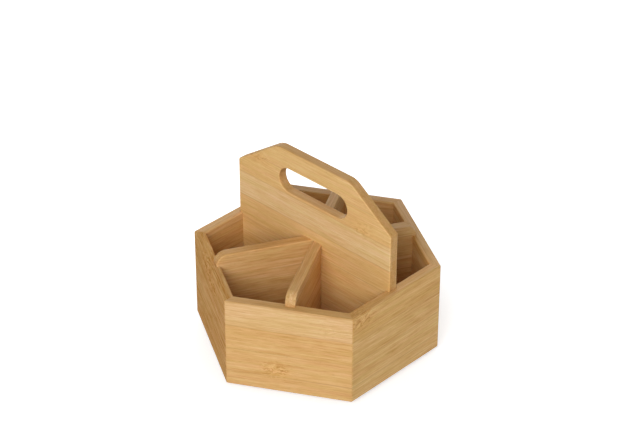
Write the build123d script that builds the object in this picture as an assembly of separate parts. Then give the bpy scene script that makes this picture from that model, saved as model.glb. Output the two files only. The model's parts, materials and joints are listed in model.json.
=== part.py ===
from build123d import *
from math import asin, atan2, cos, degrees, hypot, radians, sin, tan
import os

# A desk organiser of bamboo boards: a hexagonal box with six compartments and an upright handle
# panel. It turns without limit on a ball bearing swivel that sits on a round base with rubber feet.
# Frame: +Z up, Z = 0 is the surface that it stands on, the turning axis is X = Y = 0, and the
# handle panel lies along X. Millimetres.

# Box
across_flats = 165.0
wall_thickness = 8.0
wall_height = 74.5
wall_clearance = 4.0          # under the walls, so that they pass over the desk
corner_radius = 1.0           # upright outer corners, sanded across the joint
edge_radius = 1.0             # eased edges of every board

# Housings: grooves in the inner faces of the walls
groove_depth = 3.5
glue_gap = 0.1                # between a board and its groove, each side

# Bottom board
bottom_thickness = 6.0

# Handle panel, heights measured from the rim of the box
handle_thickness = 8.0
handle_rise = 76.0
shoulder_rise = 47.4
plateau_length = 73.8
plateau_radius = 14.0
shoulder_radius = 1.5
slot_length = 69.0
slot_height = 20.0
slot_below_top = 25.8         # from the top of the handle to the middle of the slot

# Dividers
divider_thickness = 8.0
divider_rise = 9.0
divider_corner_radius = 9.0

# Base and feet
base_radius = 64.0
base_thickness = 6.0
base_edge_radius = 1.5
foot_radius = 6.0
foot_height = 2.5
foot_inset = 9.0              # from the edge of the base to the middle of a foot
foot_count = 4
foot_taper = 0.8
foot_edge_radius = 0.5

# Swivel
swivel_height = 7.0
plate_width = 76.0
plate_thickness = 1.0
plate_corner_radius = 6.0
race_radius = 27.0            # of the circle that the balls run on
race_width = 8.0
race_rise = 1.3               # of the race above its plate
ball_radius = 2.3
ball_count = 18
ball_clearance = 0.15         # between a ball and its race
cage_thickness = 1.0
cage_width = 10.0
pocket_clearance = 0.2

# Rivet through the middle of the swivel
rivet_radius = 8.0
rivet_bore_radius = 6.5
rivet_fit = 0.08              # running clearance in the upper plate
rivet_seat_clearance = 0.05   # in the lower plate, which it is riveted to
rivet_flange = 2.5
rivet_flange_thickness = 0.8
recess_clearance = 0.5

# Screws
screw_spacing = 62.0          # square pattern in each plate
screw_radius = 1.5
screw_length = 5.0            # below the head
screw_tip_length = 1.5
screw_head_radius = 3.2
screw_head_height = 1.7
screw_hole_clearance = 0.3
pilot_clearance = 0.05
pilot_end_clearance = 0.3
cross_length = 3.4
cross_width = 0.8
cross_depth = 1.0
access_hole_clearance = 1.8   # round a screw head, for the driver that fits the upper screws

# Heights of the stack, from the desk up
base_bottom = foot_height
base_top = base_bottom + base_thickness
bottom_underside = base_top + swivel_height
floor_height = bottom_underside + bottom_thickness
wall_bottom = wall_clearance
rim_height = wall_bottom + wall_height
divider_top = rim_height + divider_rise
shoulder_height = rim_height + shoulder_rise
handle_top = rim_height + handle_rise
slot_middle = handle_top - slot_below_top
race_level = base_top + swivel_height / 2

# Plan of the box
outer_flat = across_flats / 2
inner_flat = outer_flat - wall_thickness
groove_flat = inner_flat + groove_depth
board_reach = groove_flat - 2 * glue_gap
hexagon_sides = 6
side_angle = 360 / hexagon_sides

wall_angles = {
    "wall_right": 0,
    "wall_rear_right": side_angle,
    "wall_rear_left": 2 * side_angle,
    "wall_left": 3 * side_angle,
    "wall_front_left": 4 * side_angle,
    "wall_front_right": 5 * side_angle,
}


def hexagon(flat):
    """Regular hexagon with its flats square to 0, 60, 120 degrees and so on."""
    return RegularPolygon(flat, hexagon_sides, major_radius=False, rotation=side_angle / 2)


def prism(sketch, bottom, top):
    return extrude(Pos(0, 0, bottom) * sketch, top - bottom)


def upright_panel(outline, thickness):
    """Board that stands on edge, centred on the XZ plane, from its outline in X and Z."""
    return extrude(Plane.XZ * outline, thickness / 2, both=True)


# Dividers: each runs from a groove in the middle of a wall to the handle panel, and beside the
# panel it just meets its neighbour, so its line is turned a little from the wall's own middle.


def divider_line():
    """Length and direction of the right-hand front divider, back from its end in the wall."""
    end_x = board_reach * cos(radians(side_angle))
    end_y = -board_reach * sin(radians(side_angle))
    meet_x = glue_gap / 2
    meet_y = -handle_thickness / 2
    reach = hypot(end_x - meet_x, end_y - meet_y)
    direction = degrees(atan2(end_y - meet_y, end_x - meet_x))
    return end_x, end_y, direction - degrees(asin(divider_thickness / 2 / reach))


divider_end_x, divider_end_y, divider_angle = divider_line()


def divider_plane():
    """Origin in the end of the divider in its wall, +X towards the handle."""
    return Pos(divider_end_x, divider_end_y, 0) * Rot(0, 0, divider_angle + 180)


def divider_board():
    length = outer_flat
    outline = Polyline(
        (0, floor_height),
        (0, divider_top),
        (length, divider_top),
        (length, floor_height),
        close=True,
    )
    face = make_face(outline)
    face = fillet(face.vertices().group_by(Axis.Y)[-1].sort_by(Axis.X)[0], divider_corner_radius)
    board = upright_panel(face, divider_thickness)
    tops = [edge for edge in board.edges() if edge.center().Z > rim_height]
    sides = [edge for edge in tops if abs(edge.center().Y) > divider_thickness / 4]
    board = divider_plane() * fillet(sides, edge_radius)
    room = Pos(0, -handle_thickness / 2 - outer_flat, rim_height)
    return board & (room * Box(across_flats, 2 * outer_flat, 2 * across_flats))


def divider_cut():
    """What a divider takes out of its wall: its own end, with the glue gap all round."""
    length = groove_depth + wall_thickness
    height = rim_height - bottom_underside
    cut = Box(length, divider_thickness + 2 * glue_gap, 2 * height, align=(Align.MIN, Align.CENTER, Align.MIN))
    return divider_plane() * (Pos(-glue_gap, 0, bottom_underside) * cut)


def four_ways(shape):
    """The shape and its mirror images in the two upright planes through the axis."""
    right = [shape, shape.mirror(Plane.XZ)]
    return right + [one.mirror(Plane.YZ) for one in right]


# Walls


def wall_ring():
    outside = fillet(hexagon(outer_flat).vertices(), corner_radius)
    ring = prism(outside, wall_bottom, rim_height) - prism(hexagon(inner_flat), 0, handle_top)
    ends = ring.edges().group_by(Axis.Z)
    ring = fillet(ends[0] + ends[-1], edge_radius)
    groove_bottom = bottom_underside - glue_gap
    ring -= prism(hexagon(groove_flat), groove_bottom, floor_height + glue_gap)
    handle_groove = Box(2 * groove_flat, handle_thickness + 2 * glue_gap, 2 * handle_top)
    ring -= Pos(0, 0, floor_height + handle_top) * handle_groove
    for cut in four_ways(divider_cut()):
        ring -= cut
    return ring


def wedge(angle):
    """The sixth of the space round the axis that holds one wall, up to its mitres."""
    reach = 2 * outer_flat
    half = reach * tan(radians(side_angle / 2))
    sector = make_face(Polyline((0, 0), (reach, -half), (reach, half), close=True))
    return prism(Rot(0, 0, angle) * sector, 0, handle_top)


def walls():
    ring = wall_ring()
    return {name: ring & wedge(angle) for name, angle in wall_angles.items()}


# Boards


def bottom_board():
    board = prism(hexagon(board_reach), bottom_underside, floor_height)
    recess_radius = rivet_radius + rivet_flange + recess_clearance
    recess_depth = rivet_flange_thickness + recess_clearance
    board -= Pos(0, 0, bottom_underside) * Cylinder(recess_radius, 2 * recess_depth)
    for place in screw_places():
        board -= place * (Pos(0, 0, bottom_underside) * pilot_hole())
    return board


def handle_panel():
    half = board_reach
    outline = Polyline(
        (-half, floor_height),
        (-half, shoulder_height),
        (-plateau_length / 2, handle_top),
        (plateau_length / 2, handle_top),
        (half, shoulder_height),
        (half, floor_height),
        close=True,
    )
    face = make_face(outline)
    levels = face.vertices().group_by(Axis.Y)
    face = fillet(levels[-1], plateau_radius)
    shoulders = [corner for corner in face.vertices() if abs(corner.Y - shoulder_height) < 0.01]
    face = fillet(shoulders, shoulder_radius)
    face -= Pos(0, slot_middle) * SlotOverall(slot_length, slot_height)
    panel = upright_panel(face, handle_thickness)
    showing = panel.edges().filter_by(lambda edge: edge.center().Z > floor_height + 1)
    long_edges = [edge for edge in showing if abs(edge.center().Y) > handle_thickness / 4]
    return fillet(long_edges, edge_radius)


def dividers():
    names = ["divider_front_right", "divider_rear_right", "divider_front_left", "divider_rear_left"]
    return dict(zip(names, four_ways(divider_board())))


# Swivel and base


def screw_places():
    return [place for place in GridLocations(screw_spacing, screw_spacing, 2, 2)]


def pilot_hole():
    depth = screw_length - plate_thickness + pilot_end_clearance
    return Cylinder(screw_radius + pilot_clearance, 2 * depth)


def screw():
    """Pan head screw that points down, with the underside of its head at Z = 0."""
    head = Cylinder(screw_head_radius, screw_head_height, align=(Align.CENTER, Align.CENTER, Align.MIN))
    head = fillet(head.edges().group_by(Axis.Z)[-1], screw_head_height * 0.6)
    shank_length = screw_length - screw_tip_length
    shank = Cylinder(screw_radius, shank_length, align=(Align.CENTER, Align.CENTER, Align.MAX))
    tip = Cone(0.2 * screw_radius, screw_radius, screw_tip_length, align=(Align.CENTER, Align.CENTER, Align.MAX))
    whole = head + shank + Pos(0, 0, -shank_length) * tip
    for angle in (0, 90):
        slot = Pos(0, 0, screw_head_height) * Box(cross_length, cross_width, 2 * cross_depth)
        whole -= Rot(0, 0, angle) * slot
    return whole


def plate(hole_radius):
    """Pressed steel plate that lies on Z = 0, with its raised race on top."""
    blank = RectangleRounded(plate_width, plate_width, plate_corner_radius)
    shape = extrude(blank, plate_thickness)
    race = Circle(race_radius + race_width / 2) - Circle(race_radius - race_width / 2)
    shape += extrude(race, plate_thickness + race_rise)
    shape -= Cylinder(hole_radius, 4 * plate_thickness)
    for place in screw_places():
        shape -= place * Cylinder(screw_radius + screw_hole_clearance, 4 * plate_thickness)
    track = Torus(race_radius, ball_radius + ball_clearance)
    return shape - Pos(0, 0, swivel_height / 2) * track


def upside_down(shape, level):
    return Pos(0, 0, level) * Rot(180, 0, 0) * shape


def swivel():
    lower = Pos(0, 0, base_top) * plate(rivet_radius + rivet_seat_clearance)
    upper = upside_down(plate(rivet_radius + rivet_fit), bottom_underside)
    return {"swivel_lower_plate": lower, "swivel_upper_plate": upper}


def centre_rivet():
    """Tube riveted over below the lower plate, with a flange that rides above the upper plate."""
    flange_radius = rivet_radius + rivet_flange
    low = base_top - rivet_flange_thickness
    high = bottom_underside + rivet_fit
    column = Circle(rivet_radius)
    flange = Circle(flange_radius)
    shape = prism(column, base_top, high)
    shape += prism(flange, low, base_top)
    shape += prism(flange, high, high + rivet_flange_thickness)
    return shape - Pos(0, 0, race_level) * Cylinder(rivet_bore_radius, 2 * swivel_height)


def ball_places():
    return PolarLocations(race_radius, ball_count)


def ball_cage():
    ring = Circle(race_radius + cage_width / 2) - Circle(race_radius - cage_width / 2)
    cage = prism(ring, race_level - cage_thickness / 2, race_level + cage_thickness / 2)
    for place in ball_places():
        cage -= place * Pos(0, 0, race_level) * Cylinder(ball_radius + pocket_clearance, swivel_height)
    return cage


def bearing_balls():
    return Compound([place * Pos(0, 0, race_level) * Sphere(ball_radius) for place in ball_places()])


def screws():
    lower = [place * Pos(0, 0, base_top + plate_thickness) * screw() for place in screw_places()]
    level = bottom_underside - plate_thickness
    upper = [place * upside_down(screw(), level) for place in screw_places()]
    return {"lower_screws": Compound(lower), "upper_screws": Compound(upper)}


def base_disc():
    disc = prism(Circle(base_radius), base_bottom, base_top)
    disc = fillet(disc.edges().filter_by(GeomType.CIRCLE), base_edge_radius)
    recess_radius = rivet_radius + rivet_flange + recess_clearance
    recess_depth = rivet_flange_thickness + recess_clearance
    disc -= Pos(0, 0, base_top) * Cylinder(recess_radius, 2 * recess_depth)
    for place in screw_places():
        disc -= place * Pos(0, 0, base_top) * pilot_hole()
    # The upper screws pass over this hole when the box is turned by half a right angle
    access = Cylinder(screw_head_radius + access_hole_clearance, 4 * base_thickness)
    disc -= Pos(screw_spacing / 2 * hypot(1, 1), 0, base_bottom) * access
    return disc


def rubber_feet():
    foot = Cone(foot_radius - foot_taper, foot_radius, foot_height, align=(Align.CENTER, Align.CENTER, Align.MIN))
    foot = fillet(foot.edges().group_by(Axis.Z)[0], foot_edge_radius)
    ring = PolarLocations(base_radius - foot_inset, foot_count, start_angle=180 / foot_count)
    return {f"rubber_foot_{number}": place * foot for number, place in enumerate(ring, start=1)}


parts = {
    **walls(),
    "bottom_board": bottom_board(),
    "handle_panel": handle_panel(),
    **dividers(),
    **swivel(),
    "centre_rivet": centre_rivet(),
    "ball_cage": ball_cage(),
    "bearing_balls": bearing_balls(),
    **screws(),
    "base_disc": base_disc(),
    **rubber_feet(),
}

os.makedirs("parts", exist_ok=True)
for name, shape in parts.items():
    export_step(shape, f"parts/{name}.step")
print(f"Divider angle {divider_angle:.2f} degrees, floor {floor_height} mm, top {handle_top} mm")
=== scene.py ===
import json
from itertools import product
from math import asin, atan2, cos, hypot, pi, radians, sin, sqrt, tan
from typing import NamedTuple

import bmesh
import bpy
from mathutils import Matrix, Vector

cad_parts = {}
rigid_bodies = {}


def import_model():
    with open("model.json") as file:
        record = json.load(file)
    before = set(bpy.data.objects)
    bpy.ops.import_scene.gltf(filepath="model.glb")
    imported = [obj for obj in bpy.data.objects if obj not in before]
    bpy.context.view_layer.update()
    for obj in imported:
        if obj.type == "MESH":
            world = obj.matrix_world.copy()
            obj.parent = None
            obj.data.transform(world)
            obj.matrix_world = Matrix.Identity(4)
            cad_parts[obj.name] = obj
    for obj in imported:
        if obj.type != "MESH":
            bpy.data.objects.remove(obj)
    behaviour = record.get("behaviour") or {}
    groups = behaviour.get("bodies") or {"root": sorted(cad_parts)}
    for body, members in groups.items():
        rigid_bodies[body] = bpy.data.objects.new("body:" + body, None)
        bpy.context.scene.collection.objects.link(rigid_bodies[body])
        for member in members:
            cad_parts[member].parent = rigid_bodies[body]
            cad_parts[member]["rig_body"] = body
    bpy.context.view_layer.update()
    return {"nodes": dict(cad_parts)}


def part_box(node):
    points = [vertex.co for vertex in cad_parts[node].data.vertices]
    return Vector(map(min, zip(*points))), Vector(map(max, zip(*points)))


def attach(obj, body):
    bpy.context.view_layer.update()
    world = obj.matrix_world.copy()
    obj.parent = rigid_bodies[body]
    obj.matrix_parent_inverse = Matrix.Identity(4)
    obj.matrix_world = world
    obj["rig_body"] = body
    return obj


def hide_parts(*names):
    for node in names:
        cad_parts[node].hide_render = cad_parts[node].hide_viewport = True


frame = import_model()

bl_info = {
    "name": "Turning desk organiser",
    "version": (1, 0, 0),
    "blender": (4, 5, 0),
    "location": "View3D > Sidebar > Organiser",
    "description": "Models and finishes a hexagonal bamboo desk organiser on a swivel base",
    "category": "Object",
}

MM = 0.001
SIDES = 6
SIDE_ANGLE = 2 * pi / SIDES
UP = Vector((0, 0, 1))

# Cosine above which two directions count as the same
PARALLEL = 0.999
# Angle between two faces, in radians, above which the edge between them counts as sharp
SHARP = 0.5
# Two places closer than this count as one
NEAR = 0.1 * MM
# How far a cutter reaches past what it cuts
CLEAR = 20 * MM
# From the origin to each lamp, in metres
LAMP_DISTANCE = 2.2


def corner(node, which):
    """Lowest (0) or highest (1) corner of a CAD node."""
    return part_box(node)[which]


WALL_TOP = corner("wall_right", 1).z
WALL_BOTTOM = corner("wall_right", 0).z
OUTER_FLAT = corner("wall_right", 1).x
WALL_THICKNESS = OUTER_FLAT - corner("wall_right", 0).x
INNER_FLAT = OUTER_FLAT - WALL_THICKNESS
FLOOR_TOP = corner("bottom_board", 1).z
FLOOR_BOTTOM = corner("bottom_board", 0).z
BOARD_REACH = corner("handle_panel", 1).x
HANDLE_TOP = corner("handle_panel", 1).z
HANDLE_FACE = corner("handle_panel", 1).y
DIVIDER_TOP = corner("divider_front_right", 1).z
DISC_TOP = corner("base_disc", 1).z
DISC_BOTTOM = corner("base_disc", 0).z
DISC_RADIUS = corner("base_disc", 1).x
FOOT_HEIGHT = corner("rubber_foot_1", 1).z
FOOT_RADIUS = (corner("rubber_foot_1", 1).x - corner("rubber_foot_1", 0).x) / 2

WALL_ANGLES = {
    "wall_right": 0,
    "wall_rear_right": 60,
    "wall_rear_left": 120,
    "wall_left": 180,
    "wall_front_left": 240,
    "wall_front_right": 300,
}
DIVIDER_SIDES = {
    "divider_front_right": (1, -1),
    "divider_rear_right": (1, 1),
    "divider_front_left": (-1, -1),
    "divider_rear_left": (-1, 1),
}
FEET = ("rubber_foot_1", "rubber_foot_2", "rubber_foot_3", "rubber_foot_4")

# Reach of a cane node along and across the grain, in millimetres
KNOT_LENGTH = 10.5
KNOT_WIDTH = 6.0
# Reach of a glue line and of a line between layers on either side, in millimetres
SEAM_REACH = 0.45
PLY_LINE_REACH = 0.14
# How far the joints move from one layer to the next, in strips
LAYER_SHIFT = 0.37
# How far the grain may slide from one strip to the next, in millimetres
GRAIN_SLIDE = 90.0


class Board(NamedTuple):
    """How one board differs: its run of noise, the place of one glue line across it, its cane nodes
    (place along and across the board and strength), tint, contrast and gloss. A tint other than
    white is painted shade or painted light on the board's faces, which darkens or lightens them
    for how that side is lit. Places are in millimetres from the origin."""

    seed: float
    seam: float
    knots: list
    tone: tuple = (1.0, 1.0, 1.0)
    contrast: float = 1.0
    gloss: float = 0.2


BOARDS = {
    "wall_front_right": Board(1249.0, 57.5, [(-9.0, 23.0, 1.3), (31.0, 66.0, 0.3)], contrast=0.9),
    # Its tone is painted shade: less blue on its faces, for the warmer look of this shaded side
    "wall_right": Board(2519.0, 57.5, [(-37.0, 73.0, 1.7)], tone=(1.0, 1.0, 0.86), contrast=1.15),
    "wall_rear_right": Board(8.0, 57.5, [(12.0, 60.0, 0.8), (-30.0, 24.0, 0.7)]),
    "wall_rear_left": Board(13.0, 57.5, [(-20.0, 44.0, 0.9)]),
    "wall_left": Board(21.0, 57.5, [(25.0, 26.0, 0.8), (-8.0, 68.0, 0.5)]),
    "wall_front_left": Board(
        50.0,
        60.5,
        [(-7.0, 73.0, 1.5), (9.0, 66.0, 1.1)],
        # Its tone is painted shade: its faces are darkened and browned for the shade on this side
        tone=(0.95, 0.865, 0.78),
        contrast=1.6,
        gloss=0.0,
    ),
    "handle_panel": Board(
        2936.0,
        116.3,
        [(-57.0, 137.0, 0.8), (50.0, 120.0, 0.8), (-12.0, 60.0, 0.6)],
        # Its tone is painted light: its faces are lightened beyond the wood's own colour
        tone=(1.12, 1.18, 1.24),
        contrast=0.7,
        gloss=0.08,
    ),
    "divider_front_right": Board(17.0, 60.0, [(30.0, 60.0, 0.7)]),
    "divider_rear_right": Board(19.0, 64.0, [(34.0, 40.0, 0.7)]),
    "divider_front_left": Board(23.0, 68.0, [(26.0, 72.0, 0.7)]),
    "divider_rear_left": Board(29.0, 56.0, [(38.0, 64.0, 0.7)]),
    "bottom_board": Board(31.0, 0.0, [(36.0, 28.0, 0.7), (-40.0, -30.0, 0.7)]),
    "base_disc": Board(37.0, 9.0, [(30.0, -22.0, 0.8), (-26.0, 34.0, 0.8)]),
}

# Tints that the wood's colour is multiplied by; the edge tint is partly the darker grain of the
# edges and partly painted shade on the rims, ends and other edges
WHITE = (1.0, 1.0, 1.0, 1.0)
KNOT_TINT = (1.0, 0.965, 0.88, 1.0)
PATCH_TINTS = (1.015, 0.99, 1.03, 1.0), (0.985, 1.01, 0.95, 1.0)
STRIP_TINTS = (1.005, 1.015, 1.04, 1.0), (0.965, 0.885, 0.74, 1.0)
EDGE_GRAIN_AND_PAINTED_SHADE = (0.905, 0.835, 0.735, 1.0)


# Settings


def linear(red, green, blue):
    """Linear colour from the 0 to 255 values that a picture shows."""
    parts = [value / 255 for value in (red, green, blue)]
    return tuple(c / 12.92 if c <= 0.04045 else ((c + 0.055) / 1.055) ** 2.4 for c in parts)


def number(name, description, default, **kind):
    return bpy.props.FloatProperty(name=name, description=description, default=default, **kind)


def length(name, description, default):
    return number(name, description, default, min=0, unit="LENGTH", precision=5)


def degrees(name, description, default):
    return number(name, description, radians(default), subtype="ANGLE")


def watts(name, description, default):
    return number(name, description, default, min=0, unit="POWER")


def share(name, description, default):
    return number(name, description, default, min=0, max=1, subtype="FACTOR")


def colour(name, description, default):
    return bpy.props.FloatVectorProperty(
        name=name, description=description, default=default, min=0, max=1, subtype="COLOR"
    )


class HolderSizes(bpy.types.PropertyGroup):
    """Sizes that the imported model's boxes don't give"""

    edge_radius: length("Eased edges", "Radius of the sanded edges of the boards", 1 * MM)
    joint_line: length("Joint line", "Tiny chamfer along each mitre joint", 0.09 * MM)
    glue_gap: length("Glue gap", "Gap between a board and its groove", 0.1 * MM)
    shoulder_rise: length("Shoulders", "Height of the handle's shoulders above the rim", 47.4 * MM)
    shoulder_radius: length("Shoulder radius", "Rounding of the handle's shoulders", 1.5 * MM)
    plateau_length: length("Handle top", "Length of the handle's straight top", 73.8 * MM)
    plateau_radius: length("Top radius", "Rounding at the ends of the handle's top", 14 * MM)
    slot_length: length("Slot length", "Length of the finger slot", 69 * MM)
    slot_height: length("Slot height", "Height of the finger slot", 20 * MM)
    slot_below_top: length("Slot depth", "From the handle's top to the slot's middle", 25.8 * MM)
    divider_radius: length("Divider corner", "Rounding of a divider's outer top corner", 9 * MM)
    disc_edge_radius: length("Base edge", "Rounding of the base disc's rim", 1.5 * MM)
    recess_radius: length("Rivet recess", "Radius of the recess over the rivet's flange", 11 * MM)
    recess_depth: length("Recess depth", "Depth of that recess", 1.3 * MM)
    screw_spacing: length("Screw spacing", "Side of the square that the screws stand on", 62 * MM)
    pilot_radius: length("Pilot hole", "Radius of the screws' pilot holes", 1.55 * MM)
    pilot_depth: length("Pilot depth", "Depth of the screws' pilot holes", 4.3 * MM)
    access_radius: length("Access hole", "Radius of the screwdriver's hole", 5 * MM)
    access_edge: length("Access edge", "Rounding of that hole's rims", 0.3 * MM)
    foot_taper: length("Foot taper", "How much narrower a foot is at its underside", 0.8 * MM)
    foot_edge: length("Foot edge", "Rounding of a foot's lower edge", 0.5 * MM)
    foot_ring: length("Foot ring", "Width of the ring that a foot stands on", 1.6 * MM)
    foot_hollow: length("Foot hollow", "Depth of the hollow inside that ring", 0.5 * MM)


class HolderColours(bpy.types.PropertyGroup):
    """Colours and textures of the finishes"""

    bamboo_light: colour("Bamboo, light", "Palest fibres of the boards", linear(231, 198, 151))
    bamboo_middle: colour("Bamboo, middle", "Main colour of the boards", linear(217, 176, 120))
    bamboo_dark: colour("Bamboo, dark", "Darkest fibres of the boards", linear(195, 145, 84))
    bamboo_knot: colour("Bamboo, nodes", "Lines where a cane had its nodes", linear(170, 118, 66))
    bamboo_pores: colour("Bamboo, end grain", "Dots of the end grain", linear(146, 102, 58))
    strip_width: length("Strip width", "Width of the strips in a board", 20.3 * MM)
    ply_thickness: length("Ply thickness", "Thickness of one layer of strips", 2.67 * MM)
    zinc: colour("Zinc", "Zinc plated steel of the plates and the rivet", linear(186, 188, 190))
    screw: colour("Screws", "Plated steel of the screws", linear(176, 178, 182))
    chrome: colour("Balls", "Polished steel of the balls", linear(214, 216, 220))
    nylon: colour("Cage", "Moulded plastic of the ball cage", linear(232, 230, 220))
    rubber: colour("Feet", "Rubber of the feet", linear(42, 40, 38))


class HolderStage(bpy.types.PropertyGroup):
    """Camera, lamps and floor"""

    camera_place: bpy.props.FloatVectorProperty(
        name="Camera",
        description="Where the camera stands",
        default=(0.886334, -0.917279, 0.940319),
        subtype="TRANSLATION",
    )
    camera_yaw: degrees("Yaw", "Turn of the camera to the left of +Y", 43.8888)
    camera_pitch: degrees("Look down", "Angle of the camera below the horizon", 33.252)
    camera_roll: degrees("Roll", "Turn of the camera about its line of sight", 0.1492)
    lens: number("Lens", "Focal length on a 36 mm wide sensor", 115.679, min=1, unit="CAMERA")
    sky: share("Sky", "Strength of the light from all round", 0.15)
    key: watts("Key lamp", "Power of the large lamp in front", 35.5)
    side: watts("Side lamp", "Power of the lamp at the right-hand side", 6.0)
    back: watts("Back lamp", "Power of the lamp behind", 20.0)
    floor_glow: share("Floor glow", "Share of the near floor's white that isn't lamplight", 0.55)
    glow_start: length("Glow start", "Distance from the middle where that share grows", 80 * MM)
    glow_end: length("Glow end", "Distance from the middle where the floor is all glow", 180 * MM)


def sizes():
    return bpy.context.scene.holder_sizes


def colours():
    return bpy.context.scene.holder_colours


# Modelling


def heading(angle):
    """Level direction at an angle in degrees from +X."""
    return Vector((cos(radians(angle)), sin(radians(angle)), 0))


def clear_selection():
    if bpy.context.object and bpy.context.object.mode != "OBJECT":
        bpy.ops.object.mode_set(mode="OBJECT")
    bpy.ops.object.select_all(action="DESELECT")


def pick(piece):
    clear_selection()
    piece.select_set(True)
    bpy.context.view_layer.objects.active = piece
    return piece


def place_in_mesh(piece):
    """Moves the object's place, turn and scale into its mesh."""
    pick(piece)
    bpy.ops.object.transform_apply(location=True, rotation=True, scale=True)
    return piece


def new_block(name, low, high, turn=0.0, place=(0, 0, 0)):
    """Box between two corners, then turned about the upright axis and moved to its place."""
    clear_selection()
    low, high = Vector(low), Vector(high)
    bpy.ops.mesh.primitive_cube_add(size=1, location=(low + high) / 2, scale=high - low)
    piece = place_in_mesh(bpy.context.object)
    piece.name = name
    piece.rotation_euler.z = turn
    piece.location = place
    return place_in_mesh(piece)


def round_bar(name, radius, bottom, top, facets, middle=(0, 0), under=None):
    """Upright cylinder of this many facets, with another radius at the bottom if one is given."""
    clear_selection()
    bpy.ops.mesh.primitive_cone_add(
        vertices=facets,
        radius1=radius if under is None else under,
        radius2=radius,
        depth=top - bottom,
        location=(middle[0], middle[1], (bottom + top) / 2),
    )
    piece = place_in_mesh(bpy.context.object)
    piece.name = name
    return piece


def hexagonal_prism(name, flat, bottom, top):
    return round_bar(name, flat / cos(SIDE_ANGLE / 2), bottom, top, facets=SIDES)


def choose(piece, edges=None, faces=None):
    """Goes into edit mode with the edges or faces selected for which the test is true."""
    pick(piece)
    bpy.ops.object.mode_set(mode="EDIT")
    bpy.ops.mesh.select_mode(type="EDGE" if edges else "FACE")
    bpy.ops.mesh.select_all(action="DESELECT")
    mesh = bmesh.from_edit_mesh(piece.data)
    for part in mesh.edges if edges else mesh.faces:
        part.select_set(bool((edges or faces)(part)))
    bmesh.update_edit_mesh(piece.data)


def leave_edit():
    bpy.ops.object.mode_set(mode="OBJECT")


def round_edges(piece, test, reach, segments):
    """Bevels the edges for which the test is true."""
    choose(piece, edges=test)
    bpy.ops.mesh.bevel(offset=reach, offset_type="OFFSET", segments=segments, affect="EDGES")
    leave_edit()


def is_sharp(edge):
    return len(edge.link_faces) == 2 and edge.calc_face_angle(0) > SHARP


def along(edge, direction):
    """Whether the edge runs along the direction, either way."""
    ends = edge.verts[1].co - edge.verts[0].co
    return ends.length > 0 and abs(ends.normalized().dot(Vector(direction))) > PARALLEL


def centre(edge):
    return (edge.verts[0].co + edge.verts[1].co) / 2


def halve(piece, point, outwards):
    """Cuts the piece by a plane, drops the side that the normal points to and closes the cut."""
    choose(piece, faces=lambda face: True)
    bpy.ops.mesh.bisect(
        plane_co=point, plane_no=outwards, use_fill=True, clear_inner=False, clear_outer=True
    )
    leave_edit()


def carve(piece, *cutters):
    """Takes the cutters' shapes out of the piece and deletes them."""
    for cutter in cutters:
        pick(piece)
        tool = piece.modifiers.new("carve", "BOOLEAN")
        tool.operation = "DIFFERENCE"
        tool.solver = "EXACT"
        tool.object = cutter
        bpy.ops.object.modifier_apply(modifier=tool.name)
        bpy.data.objects.remove(cutter)


def copy_of(piece, name):
    pick(piece)
    bpy.ops.object.duplicate(linked=False)
    twin = bpy.context.object
    twin.name = name
    return twin


def smooth(piece):
    """Rounded edges shade softly and flat faces stay flat."""
    pick(piece)
    bpy.ops.object.shade_smooth_by_angle(angle=radians(30))
    weights = piece.modifiers.new("weights", "WEIGHTED_NORMAL")
    weights.keep_sharp = True
    bpy.ops.object.modifier_apply(modifier=weights.name)
    return piece


def stand_for(piece, node):
    """The piece takes a CAD node's place and body, and the node is hidden."""
    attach(piece, frame["nodes"][node]["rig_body"])
    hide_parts(node)


def paint(piece, material):
    if not piece.material_slots:
        piece.data.materials.append(material)
    for slot in piece.material_slots:
        slot.material = material


# Shader maths


# Sockets of a Mix node that is set to colours
MIX_FACTOR, MIX_FIRST, MIX_SECOND, MIX_RESULT = 0, 6, 7, 2


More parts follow.
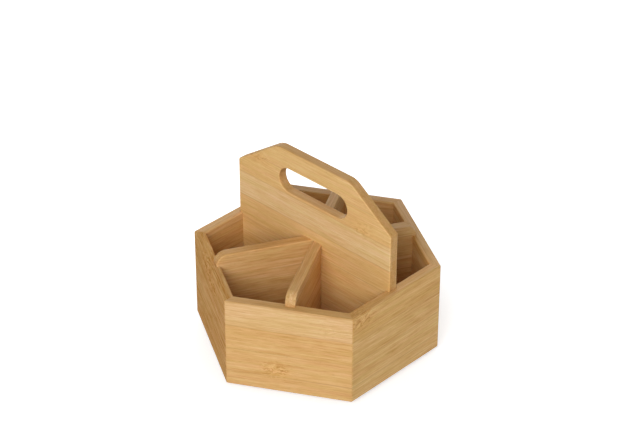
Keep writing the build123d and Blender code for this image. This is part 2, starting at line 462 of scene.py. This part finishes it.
class Wire:
    """An output socket of a material's nodes, on which arithmetic adds Math nodes. One without a
    socket only adds nodes, and a material is started with it."""

    def __init__(self, tree, socket):
        self.tree = tree
        self.socket = socket

    def node(self, kind, settings=None, inputs=None, output=0):
        """Adds a node with its settings, then its sockets' values or links."""
        made = self.tree.nodes.new(kind)
        for name, value in (settings or {}).items():
            if name == "stops":
                set_stops(made.color_ramp, value)
            else:
                setattr(made, name, value)
        for name, value in (inputs or {}).items():
            if isinstance(value, Wire):
                self.tree.links.new(value.socket, made.inputs[name])
            else:
                made.inputs[name].default_value = value
        return Wire(self.tree, made.outputs[output]) if made.outputs else made

    def maths(self, operation, *values):
        inputs = dict(enumerate(values))
        return self.node("ShaderNodeMath", {"operation": operation}, inputs)

    def __add__(self, other):
        return self.maths("ADD", self, other)

    def __sub__(self, other):
        return self.maths("SUBTRACT", self, other)

    def __rsub__(self, other):
        return self.maths("SUBTRACT", other, self)

    def __mul__(self, other):
        return self.maths("MULTIPLY", self, other)

    def __truediv__(self, other):
        return self.maths("DIVIDE", self, other)

    def __abs__(self):
        return self.maths("ABSOLUTE", self)

    __radd__ = __add__
    __rmul__ = __mul__

    def whole(self):
        return self.maths("FLOOR", self)

    def bell(self, width):
        """1 where the value is 0, falling to 0 over about the width on both sides."""
        scaled = self / width
        return self.maths("EXPONENT", scaled * scaled * -1.0)

    def ramp(self, start, end):
        """0 below start, 1 above end and smooth between them."""
        settings = {"interpolation_type": "SMOOTHSTEP"}
        inputs = {"Value": self, "From Min": start, "From Max": end}
        return self.node("ShaderNodeMapRange", settings, inputs)

    def point(self, x, y, z):
        return self.node("ShaderNodeCombineXYZ", None, {"X": x, "Y": y, "Z": z})

    def dot(self, direction):
        inputs = {0: self, 1: direction}
        settings = {"operation": "DOT_PRODUCT"}
        return self.node("ShaderNodeVectorMath", settings, inputs, output="Value")

    def noise(self, detail=2.0, roughness=0.5):
        inputs = {"Vector": self, "Scale": 1.0, "Detail": detail, "Roughness": roughness}
        return self.node("ShaderNodeTexNoise", None, inputs)

    def blended(self, factor, first, second, blend):
        settings = {"data_type": "RGBA", "blend_type": blend}
        inputs = {MIX_FACTOR: factor, MIX_FIRST: first, MIX_SECOND: second}
        return self.node("ShaderNodeMix", settings, inputs, output=MIX_RESULT)

    def mix(self, first, second, blend="MIX"):
        """Colour between two others, with this value as the share of the second."""
        return self.blended(self, first, second, blend)

    def tinted(self, shade):
        """This colour times another."""
        return self.blended(1.0, self, shade, "MULTIPLY")


def set_stops(ramp, stops):
    while len(ramp.elements) > 1:
        ramp.elements.remove(ramp.elements[-1])
    for index, (place, shade) in enumerate(stops):
        stop = ramp.elements[0] if index == 0 else ramp.elements.new(place)
        stop.position = place
        stop.color = shade


def opaque(shade):
    return (*shade[:3], 1.0)


def new_material(name):
    material = bpy.data.materials.new(name)
    material.use_nodes = True
    material.node_tree.nodes.clear()
    return material, Wire(material.node_tree, None)


def coordinates(graph, output="Object"):
    return graph.node("ShaderNodeTexCoord", output=output)


def finish_surface(graph, values):
    """Principled surface from its sockets' values and links."""
    surface = graph.node("ShaderNodeBsdfPrincipled", None, values)
    graph.node("ShaderNodeOutputMaterial", None, {"Surface": surface})


def bump(graph, height, depth):
    return graph.node("ShaderNodeBump", None, {"Height": height, "Distance": depth})


# Finishes


def board_places(graph, grain, face, middle):
    """Places in millimetres along the grain, across it, and through the board from its middle."""
    place = coordinates(graph)
    across = face.cross(grain)
    return [place.dot(axis / MM) for axis in (grain, across)] + [place.dot(face / MM) - middle / MM]


def strip_chances(graph, strip, ply, seed):
    """Three random numbers for each strip of each layer."""
    place = graph.point(strip + 0.5, ply + 0.5, seed)
    settings = {"noise_dimensions": "3D"}
    chance = graph.node("ShaderNodeTexWhiteNoise", settings, {"Vector": place}, "Color")
    parts = graph.node("ShaderNodeSeparateColor", None, {"Color": chance})
    return [Wire(graph.tree, part) for part in parts.socket.node.outputs]


def nearby_knots(knots, along, across):
    """How near the board's cane nodes are, times their strength."""
    patches = [
        (along - knot_along).bell(KNOT_LENGTH) * (across - knot_across).bell(KNOT_WIDTH) * strength
        for knot_along, knot_across, strength in knots
    ]
    return sum(patches[1:], patches[0])


def marks(graph, place, long, rows, detail=2.0, roughness=0.5, shift=0.0):
    """Noise stretched along the grain, with marks of about this length and this many rows of them
    to a millimetre. The place is along, across and through the board, in millimetres."""
    along, across, through = place
    point = graph.point(along / long, across * rows + shift, through * rows)
    return point.noise(detail, roughness)


def to_joint(count, whole, width):
    """Distance to the nearest joint between strips or layers of this width, from their count."""
    return (0.5 - abs(count - whole - 0.5)) * width


def bamboo(name, grain, face, middle):
    """Pressed bamboo strips. The grain runs along one direction of the piece and the layers of
    strips lie square to its face, whose middle plane stands at a distance from the origin."""
    board = BOARDS[name]
    shades = colours()
    knot_shade = opaque(shades.bamboo_knot)
    grain, face = Vector(grain), Vector(face)
    material, graph = new_material("bamboo_" + name)
    along, across, through = board_places(graph, grain, face, middle)

    # Layers and strips, counted from one joint. The layers are drawn a little too thick, so that
    # none ends just at a face.
    ply_width = shades.ply_thickness / MM
    strip_width = shades.strip_width / MM
    layer = through * 0.98 / ply_width + 0.5
    ply = layer.whole()
    lane = (across - board.seam) / strip_width + (ply - 1) * LAYER_SHIFT
    strip = lane.whole()
    strip_slide, strip_shade, strip_tint = strip_chances(graph, strip, ply, board.seed)

    # Grain, which bends round the cane nodes and starts elsewhere in each strip
    near_knots = nearby_knots(board.knots, along, across)
    swirl = graph.point(along * 0.2, across * 0.3, through * 0.3 + board.seed).noise(2.0) - 0.5
    bent = across + near_knots * swirl * 8.0
    slid = along + strip_slide * GRAIN_SLIDE + board.seed * 31.0
    place = (slid, bent, through)
    clouds = marks(graph, place, long=90.0, rows=1 / 6, detail=1.0) - 0.5
    streaks = marks(graph, place, long=60.0, rows=0.7, roughness=0.6) - 0.5
    fibres = marks(graph, place, long=12.0, rows=1.4, roughness=0.6) - 0.5
    flecks = marks(graph, place, long=3.2, rows=1.3, detail=1.0).ramp(0.6, 0.78)
    patches = marks(graph, place, long=45.0, rows=0.3, shift=17.0).ramp(0.3, 0.7)
    curled = graph.point(along * 0.2 + swirl * 3.0, across * 0.5 + swirl * 4.0, through)
    curls = curled.noise(2.0, 0.6) - 0.5

    # Dark and light of the wood, and the dark specks and warm tints laid over it
    value = clouds * 0.45 + streaks * 0.8 + fibres + (strip_shade - 0.5) * 0.12
    value = value + curls * near_knots * 1.8
    stops = [
        (0.1, opaque(shades.bamboo_dark)),
        (0.5, opaque(shades.bamboo_middle)),
        (0.9, opaque(shades.bamboo_light)),
    ]
    lightness = {"Fac": value * board.contrast + 0.5}
    wood = graph.node("ShaderNodeValToRGB", {"stops": stops}, lightness)
    spots = near_knots * (1 - curls.ramp(-0.2, 0.0))
    wood = (flecks * 0.2 * (1 + near_knots) + spots * 0.36).mix(wood, knot_shade)
    wood = wood.tinted(near_knots.mix(WHITE, KNOT_TINT))
    wood = wood.tinted(patches.mix(*PATCH_TINTS))
    wood = wood.tinted(strip_tint.mix(*STRIP_TINTS))

    # Faces of the board show its strips, edges show its layers, and ends show its pores
    normal = coordinates(graph, "Normal")
    flat = abs(normal.dot(face)).ramp(0.35, 0.85)
    ending = abs(normal.dot(grain)).ramp(0.5, 0.95)
    seam = to_joint(lane, strip, strip_width).bell(SEAM_REACH) * flat * (0.8 + clouds * 2.0)
    ply_line = to_joint(layer, ply, ply_width).bell(PLY_LINE_REACH) * (1 - flat)
    wood = (seam * 0.34 + ply_line * 0.22).mix(wood, knot_shade)
    pores = graph.node(
        "ShaderNodeTexVoronoi",
        {"feature": "F1"},
        {"Vector": graph.point(across * 1.1, through * 1.1, along * 0.05), "Scale": 1.0},
        output="Distance",
    )
    dotted = (1 - pores.ramp(0.18, 0.42)) * ending
    wood = (dotted * 0.34).mix(wood, opaque(shades.bamboo_pores))
    # Edges darker and warmer: partly their own grain, partly painted shade
    wood = ((1 - flat) * (0.5 + strip_shade * 0.5)).mix(wood, EDGE_GRAIN_AND_PAINTED_SHADE, "MULTIPLY")
    # Painted shade or painted light: the board's tone darkens or lightens its faces
    wood = flat.mix(wood, opaque(board.tone), "MULTIPLY")

    relief = fibres * 0.5 + streaks * 0.3 - flecks * 0.3 - seam * 0.4 - ply_line * 0.5
    relief = relief - dotted * 0.6
    finish_surface(
        graph,
        {
            "Base Color": wood,
            "Roughness": 0.52 - streaks * 0.14 + (1 - flat) * 0.06 + flecks * 0.08,
            "Specular IOR Level": board.gloss,
            "Normal": bump(graph, relief, 0.04 * MM),
        },
    )
    return material


def plated_steel(name, shade, roughness, spangle):
    """Plated or polished steel, with faint crystals and clouds."""
    material, graph = new_material(name)
    place = coordinates(graph)
    to_millimetres = {"Vector": place, "Scale": (1 / MM, 1 / MM, 1 / MM)}
    millimetres = graph.node("ShaderNodeMapping", None, to_millimetres)
    pattern = {"Vector": millimetres, "Scale": spangle}
    crystals = graph.node("ShaderNodeTexVoronoi", {"feature": "F1"}, pattern, "Color")
    parts = graph.node("ShaderNodeSeparateColor", None, {"Color": crystals})
    cloudy = {"Vector": millimetres, "Scale": 0.4, "Detail": 3.0}
    cloud = graph.node("ShaderNodeTexNoise", None, cloudy)
    value = parts * 0.5 + cloud * 0.5
    dark = opaque([part * 0.78 for part in shade])
    finish_surface(
        graph,
        {
            "Base Color": value.mix(dark, opaque(shade)),
            "Metallic": 1.0,
            "Roughness": roughness + (value - 0.5) * 0.2,
            "Normal": bump(graph, value, 0.02 * MM),
        },
    )
    return material


def moulded(name, shade, roughness, grain, depth):
    """Moulded plastic or rubber with a fine cast texture."""
    material, graph = new_material(name)
    grainy = {"Vector": coordinates(graph), "Scale": grain, "Detail": 4.0}
    texture = graph.node("ShaderNodeTexNoise", None, grainy)
    dark = opaque([part * 0.85 for part in shade])
    finish_surface(
        graph,
        {
            "Base Color": texture.mix(dark, opaque(shade)),
            "Roughness": roughness + (texture - 0.5) * 0.2,
            "Normal": bump(graph, texture, depth),
        },
    )
    return material


def seen_directly(graph):
    """1 for what the camera sees, straight, in a reflection or through glass."""
    path = graph.node("ShaderNodeLightPath").socket.node.outputs
    rays = ("Is Camera Ray", "Is Glossy Ray", "Is Transmission Ray")
    camera, glossy, through = (Wire(graph.tree, path[name]) for name in rays)
    return camera.maths("MAXIMUM", camera, camera.maths("MAXIMUM", glossy, through))


def white_floor(stage):
    """White to the eye with a faint shadow, an ordinary pale floor for the light that it sends
    back, and clear from below, so that the underside of the holder can be looked at. The white
    needs less lamplight away from the holder, so it stays white far off."""
    material, graph = new_material("floor_white")
    seen = seen_directly(graph)
    pale = graph.node("ShaderNodeBsdfDiffuse", None, {"Color": (0.8, 0.8, 0.8, 1.0)})
    shaded = graph.node("ShaderNodeBsdfDiffuse", None, {"Color": (0.78, 0.78, 0.78, 1.0)})
    length_of = {"operation": "LENGTH"}
    away = graph.node("ShaderNodeVectorMath", length_of, {0: coordinates(graph)}, "Value")
    glow = graph.node("ShaderNodeEmission", None, {"Strength": stage.floor_glow})
    white = graph.node("ShaderNodeEmission", None, {"Strength": 1.0})
    far = away.ramp(stage.glow_start, stage.glow_end)
    light = graph.node("ShaderNodeMixShader", None, {0: far, 1: glow, 2: white})
    lit = graph.node("ShaderNodeAddShader", None, {0: shaded, 1: light})
    top = graph.node("ShaderNodeMixShader", None, {0: seen, 1: pale, 2: lit})
    below = graph.node("ShaderNodeNewGeometry", output="Backfacing")
    clear = graph.node("ShaderNodeBsdfTransparent")
    surface = graph.node("ShaderNodeMixShader", None, {0: below, 1: top, 2: clear})
    graph.node("ShaderNodeOutputMaterial", None, {"Surface": surface})
    return material


# Pieces


def divider_line():
    """End of the right-hand front divider in its wall, and the angle of its line."""
    end_x = BOARD_REACH * cos(SIDE_ANGLE)
    end_y = -BOARD_REACH * sin(SIDE_ANGLE)
    meet_x = sizes().glue_gap / 2
    reach = hypot(end_x - meet_x, end_y + HANDLE_FACE)
    direction = atan2(end_y + HANDLE_FACE, end_x - meet_x)
    return end_x, end_y, direction - asin(WALL_THICKNESS / 2 / reach)


def divider_place(node):
    """End and turn of a divider's own frame, whose +X runs from its wall to the handle."""
    end_x, end_y, angle = divider_line()
    side_x, side_y = DIVIDER_SIDES[node]
    direction = Vector((-side_x * cos(angle), side_y * sin(angle)))
    return (side_x * end_x, -side_y * end_y, 0), atan2(direction.y, direction.x), direction


def wall_ring(size):
    """The six walls in one ring, with their rims and outer corners eased."""
    ring = hexagonal_prism("walls_ring", OUTER_FLAT, WALL_BOTTOM, WALL_TOP)
    choose(ring, faces=lambda face: abs(face.normal.z) > PARALLEL)
    bpy.ops.mesh.inset(thickness=WALL_THICKNESS, use_even_offset=True, use_individual=True)
    bpy.ops.mesh.delete(type="FACE")
    choose(ring, edges=lambda edge: edge.is_boundary)
    bpy.ops.mesh.bridge_edge_loops()
    bpy.ops.mesh.select_all(action="SELECT")
    bpy.ops.mesh.normals_make_consistent(inside=False)
    leave_edit()
    middle_radius = (OUTER_FLAT + INNER_FLAT) / 2 / cos(SIDE_ANGLE / 2)

    def eased(edge):
        inner_upright = along(edge, UP) and centre(edge).to_2d().length < middle_radius
        return is_sharp(edge) and not inner_upright

    round_edges(ring, eased, size.edge_radius, segments=4)
    return ring


def groove_cutters(size):
    """Shapes of what sits in the walls' grooves, larger by the glue gap."""
    gap = size.glue_gap
    groove_flat = BOARD_REACH + 2 * gap
    half = WALL_THICKNESS / 2
    bottom, top = FLOOR_TOP - gap, WALL_TOP + CLEAR
    low, high = (-groove_flat, -HANDLE_FACE - gap, bottom), (groove_flat, HANDLE_FACE + gap, top)
    cutters = [
        hexagonal_prism("cutter", groove_flat, FLOOR_BOTTOM - gap, FLOOR_TOP + gap),
        new_block("cutter", low, high),
    ]
    for node in DIVIDER_SIDES:
        place, turn, _ = divider_place(node)
        # From the divider's end in the wall to well inside the box
        low, high = (-gap, -half - gap, bottom), (1.5 * WALL_THICKNESS, half + gap, top)
        cutters.append(new_block("cutter", low, high, turn, place))
    return cutters


class HOLDER_OT_walls(bpy.types.Operator):
    """Mitred walls of the box: a ring with eased edges and grooves, cut apart at its corners"""

    bl_idname = "holder.walls"
    bl_label = "Walls"

    def execute(self, context):
        size = sizes()
        ring = wall_ring(size)
        carve(ring, *groove_cutters(size))
        middle = (OUTER_FLAT + INNER_FLAT) / 2
        for node, angle in WALL_ANGLES.items():
            wall = copy_of(ring, node + "_board")
            cuts = [heading(angle + side) for side in (120, -120)]
            for cut in cuts:
                halve(wall, (0, 0, 0), cut)

            def at_joint(edge, cuts=cuts):
                on_cut = [
                    any(face.normal.dot(cut) > PARALLEL for cut in cuts) for face in edge.link_faces
                ]
                return len(on_cut) == 2 and on_cut[0] != on_cut[1]

            round_edges(wall, at_joint, size.joint_line, segments=1)
            smooth(wall)
            stand_for(wall, node)
            outwards = heading(angle)
            paint(wall, bamboo(node, UP.cross(outwards), outwards, middle))
        bpy.data.objects.remove(ring)
        return {"FINISHED"}


class HOLDER_OT_handle(bpy.types.Operator):
    """Handle panel with sloping shoulders, rounded corners and a finger slot"""

    bl_idname = "holder.handle"
    bl_label = "Handle panel"

    def execute(self, context):
        size = sizes()
        face = HANDLE_FACE
        low, high = (-BOARD_REACH, -face, FLOOR_TOP), (BOARD_REACH, face, HANDLE_TOP)
        panel = new_block("handle_board", low, high)
        shoulder = WALL_TOP + size.shoulder_rise
        run = BOARD_REACH - size.plateau_length / 2
        drop = HANDLE_TOP - shoulder
        slope = atan2(drop, run)
        for side in (-1, 1):
            halve(panel, (side * BOARD_REACH, 0, shoulder), (side * sin(slope), 0, cos(slope)))

        def across(edge):
            return along(edge, (0, 1, 0))

        def near(height):
            return lambda edge: across(edge) and abs(centre(edge).z - height) < NEAR

        round_edges(panel, near(HANDLE_TOP), size.plateau_radius * tan(slope / 2), segments=12)
        turn = pi / 2 - slope
        round_edges(panel, near(shoulder), size.shoulder_radius * tan(turn / 2), segments=8)
        slot_middle = HANDLE_TOP - size.slot_below_top
        half_length, half_height = size.slot_length / 2, size.slot_height / 2
        low = (-half_length, -2 * face, slot_middle - half_height)
        high = (half_length, 2 * face, slot_middle + half_height)
        cutter = new_block("cutter", low, high)
        # Just short of half the height, so that the roundings at each end don't meet
        round_edges(cutter, across, half_height * 0.999, segments=20)
        carve(panel, cutter)

        def rim(edge):
            return is_sharp(edge) and not across(edge) and centre(edge).z > FLOOR_TOP + NEAR

        round_edges(panel, rim, size.edge_radius, segments=4)
        smooth(panel)
        stand_for(panel, "handle_panel")
        paint(panel, bamboo("handle_panel", (1, 0, 0), (0, -1, 0), 0))
        return {"FINISHED"}


class HOLDER_OT_dividers(bpy.types.Operator):
    """Dividers from the handle panel to the walls, with a rounded outer top corner"""

    bl_idname = "holder.dividers"
    bl_label = "Dividers"

    def execute(self, context):
        size = sizes()
        half = WALL_THICKNESS / 2
        for node, (side_x, side_y) in DIVIDER_SIDES.items():
            place, turn, direction = divider_place(node)
            low, high = (0, -half, FLOOR_TOP), (OUTER_FLAT, half, DIVIDER_TOP)
            board = new_block(node + "_board", low, high)

            def outer_corner(edge):
                middle = centre(edge)
                return along(edge, (0, 1, 0)) and middle.x < MM and middle.z > WALL_TOP

            round_edges(board, outer_corner, size.divider_radius, segments=12)

            def top_edges(edge):
                return is_sharp(edge) and not along(edge, (0, 1, 0)) and centre(edge).z > WALL_TOP

            round_edges(board, top_edges, size.edge_radius, segments=4)
            board.rotation_euler.z = turn
            board.location = place
            place_in_mesh(board)
            halve(board, (0, side_y * HANDLE_FACE, 0), (0, -side_y, 0))
            smooth(board)
            stand_for(board, node)
            grain = Vector((direction.x, direction.y, 0))
            face = grain.cross(UP)
            middle = face.dot(Vector(place))
            paint(board, bamboo(node, grain, face, middle))
        return {"FINISHED"}


class HOLDER_OT_bottom(bpy.types.Operator):
    """Bottom board, let into the walls"""

    bl_idname = "holder.bottom"
    bl_label = "Bottom board"

    def execute(self, context):
        middle = (FLOOR_TOP + FLOOR_BOTTOM) / 2
        board = frame["nodes"]["bottom_board"]
        paint(board, bamboo("bottom_board", (1, 0, 0), UP, middle))
        return {"FINISHED"}


class HOLDER_OT_base(bpy.types.Operator):
    """Base disc with a rounded rim, the screws' pilot holes and the access hole"""

    bl_idname = "holder.base"
    bl_label = "Base disc"

    def execute(self, context):
        size = sizes()
        disc = round_bar("base_disc_board", DISC_RADIUS, DISC_BOTTOM, DISC_TOP, facets=160)

        def rims(edge):
            return is_sharp(edge) and not along(edge, UP)

        round_edges(disc, rims, size.disc_edge_radius, segments=6)
        half = size.screw_spacing / 2
        access = Vector((half * sqrt(2), 0))
        over = 2 * DISC_TOP
        recess_floor, pilot_floor = DISC_TOP - size.recess_depth, DISC_TOP - size.pilot_depth
        cutters = [
            round_bar("cutter", size.recess_radius, recess_floor, over, facets=64),
            round_bar("cutter", size.access_radius, 0, over, facets=48, middle=access),
        ]
        cutters += [
            round_bar("cutter", size.pilot_radius, pilot_floor, over, facets=24, middle=place)
            for place in product((-half, half), repeat=2)
        ]
        carve(disc, *cutters)

        def access_rim(edge):
            away = (centre(edge).to_2d() - access).length
            return is_sharp(edge) and not along(edge, UP) and away < size.access_radius + NEAR

        round_edges(disc, access_rim, size.access_edge, segments=2)
        smooth(disc)
        stand_for(disc, "base_disc")
        paint(disc, bamboo("base_disc", heading(25), UP, (DISC_TOP + DISC_BOTTOM) / 2))
        return {"FINISHED"}


class HOLDER_OT_feet(bpy.types.Operator):
    """Rubber feet with a rounded lower edge and a hollow underside"""

    bl_idname = "holder.feet"
    bl_label = "Rubber feet"

    def execute(self, context):
        size = sizes()
        shade = colours().rubber
        rubber = moulded("foot_rubber", shade, roughness=0.75, grain=2600, depth=0.05 * MM)
        under = FOOT_RADIUS - size.foot_taper
        for node in FEET:
            low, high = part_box(node)
            middle = ((low.x + high.x) / 2, (low.y + high.y) / 2)
            foot = round_bar(
                node + "_pad", FOOT_RADIUS, 0, FOOT_HEIGHT, facets=64, middle=middle, under=under
            )
            choose(foot, faces=lambda face: face.normal.z < -PARALLEL)
            bpy.ops.mesh.inset(thickness=size.foot_ring)
            bpy.ops.mesh.inset(thickness=size.foot_hollow)
            bpy.ops.transform.translate(value=(0, 0, size.foot_hollow))
            leave_edit()

            def lower_rim(edge):
                return is_sharp(edge) and centre(edge).z < NEAR and not along(edge, UP)

            round_edges(foot, lower_rim, size.foot_edge, segments=4)
            smooth(foot)
            stand_for(foot, node)
            paint(foot, rubber)
        return {"FINISHED"}


class HOLDER_OT_swivel(bpy.types.Operator):
    """Finishes of the swivel: plates, rivet, screws, balls and their cage"""

    bl_idname = "holder.swivel"
    bl_label = "Swivel"

    def execute(self, context):
        shades = colours()
        zinc = plated_steel("plate_steel", shades.zinc, roughness=0.38, spangle=0.35)
        screw = plated_steel("screw_steel", shades.screw, roughness=0.3, spangle=1.2)
        chrome = plated_steel("ball_steel", shades.chrome, roughness=0.14, spangle=2.0)
        nylon = moulded("cage_plastic", shades.nylon, roughness=0.5, grain=900, depth=0.02 * MM)
        finishes = {
            "swivel_upper_plate": zinc,
            "swivel_lower_plate": zinc,
            "centre_rivet": zinc,
            "upper_screws": screw,
            "lower_screws": screw,
            "bearing_balls": chrome,
            "ball_cage": nylon,
        }
        for node, material in finishes.items():
            paint(frame["nodes"][node], material)
        return {"FINISHED"}


class HOLDER_OT_stage(bpy.types.Operator):
    """White floor, soft lamps and the camera"""

    bl_idname = "holder.stage"
    bl_label = "Stage"

    def execute(self, context):
        stage = context.scene.holder_stage
        clear_selection()
        bpy.ops.mesh.primitive_circle_add(vertices=96, radius=8, fill_type="NGON")
        floor = context.object
        floor.name = "floor"
        paint(floor, white_floor(stage))
        self.light_world(context.scene, stage.sky)
        self.add_lamp(context.scene, "key_lamp", stage.key, width=1.6, azimuth=296, elevation=32)
        self.add_lamp(context.scene, "side_lamp", stage.side, width=1.6, azimuth=4, elevation=25)
        self.add_lamp(context.scene, "back_lamp", stage.back, width=1.2, azimuth=140, elevation=18)
        self.add_camera(context.scene, stage)
        context.scene.view_settings.view_transform = "Standard"
        return {"FINISHED"}

    def light_world(self, scene, sky):
        world = bpy.data.worlds.new("sky")
        scene.world = world
        world.use_nodes = True
        world.node_tree.nodes.clear()
        graph = Wire(world.node_tree, None)
        seen = seen_directly(graph)
        light = {"Color": WHITE, "Strength": sky + seen * (1.0 - sky)}
        background = graph.node("ShaderNodeBackground", None, light)
        graph.node("ShaderNodeOutputWorld", None, {"Surface": background})

    def add_lamp(self, scene, name, power, width, azimuth, elevation):
        data = bpy.data.lights.new(name, "AREA")
        data.energy = power
        data.shape = "DISK"
        data.size = width
        lamp = bpy.data.objects.new(name, data)
        scene.collection.objects.link(lamp)
        turn, rise = radians(azimuth), radians(elevation)
        away = Vector((cos(turn) * cos(rise), sin(turn) * cos(rise), sin(rise)))
        lamp.location = away * LAMP_DISTANCE
        lamp.rotation_euler = away.to_track_quat("Z", "Y").to_euler()

    def add_camera(self, scene, stage):
        data = bpy.data.cameras.new("camera")
        data.sensor_width = 36
        data.lens = stage.lens
        camera = bpy.data.objects.new("camera", data)
        scene.collection.objects.link(camera)
        turn = Matrix.Rotation(stage.camera_yaw, 4, "Z")
        tilt = Matrix.Rotation(pi / 2 - stage.camera_pitch, 4, "X")
        roll = Matrix.Rotation(stage.camera_roll, 4, "Z")
        camera.matrix_world = Matrix.Translation(stage.camera_place) @ turn @ tilt @ roll
        data.clip_start, data.clip_end = 0.05, 50
        scene.camera = camera


# Panel and registration


OPERATORS = (
    HOLDER_OT_walls,
    HOLDER_OT_handle,
    HOLDER_OT_dividers,
    HOLDER_OT_bottom,
    HOLDER_OT_base,
    HOLDER_OT_feet,
    HOLDER_OT_swivel,
    HOLDER_OT_stage,
)
GROUPS = {
    "holder_sizes": HolderSizes,
    "holder_colours": HolderColours,
    "holder_stage": HolderStage,
}


class HOLDER_PT_panel(bpy.types.Panel):
    """Settings and pieces of the organiser"""

    bl_idname = "HOLDER_PT_panel"
    bl_label = "Organiser"
    bl_space_type = "VIEW_3D"
    bl_region_type = "UI"
    bl_category = "Organiser"

    def draw(self, context):
        for name, group in GROUPS.items():
            box = self.layout.box()
            for setting in group.__annotations__:
                box.prop(getattr(context.scene, name), setting)
        for operator in OPERATORS:
            self.layout.operator(operator.bl_idname)


def register():
    for group in (*GROUPS.values(), *OPERATORS, HOLDER_PT_panel):
        bpy.utils.register_class(group)
    for name, group in GROUPS.items():
        setattr(bpy.types.Scene, name, bpy.props.PointerProperty(type=group))


def unregister():
    for name in GROUPS:
        delattr(bpy.types.Scene, name)
    for group in (HOLDER_PT_panel, *OPERATORS, *GROUPS.values()):
        bpy.utils.unregister_class(group)


def main():
    register()
    for operator in OPERATORS:
        family, name = operator.bl_idname.split(".")
        getattr(getattr(bpy.ops, family), name)()


if __name__ == "__main__":
    main()
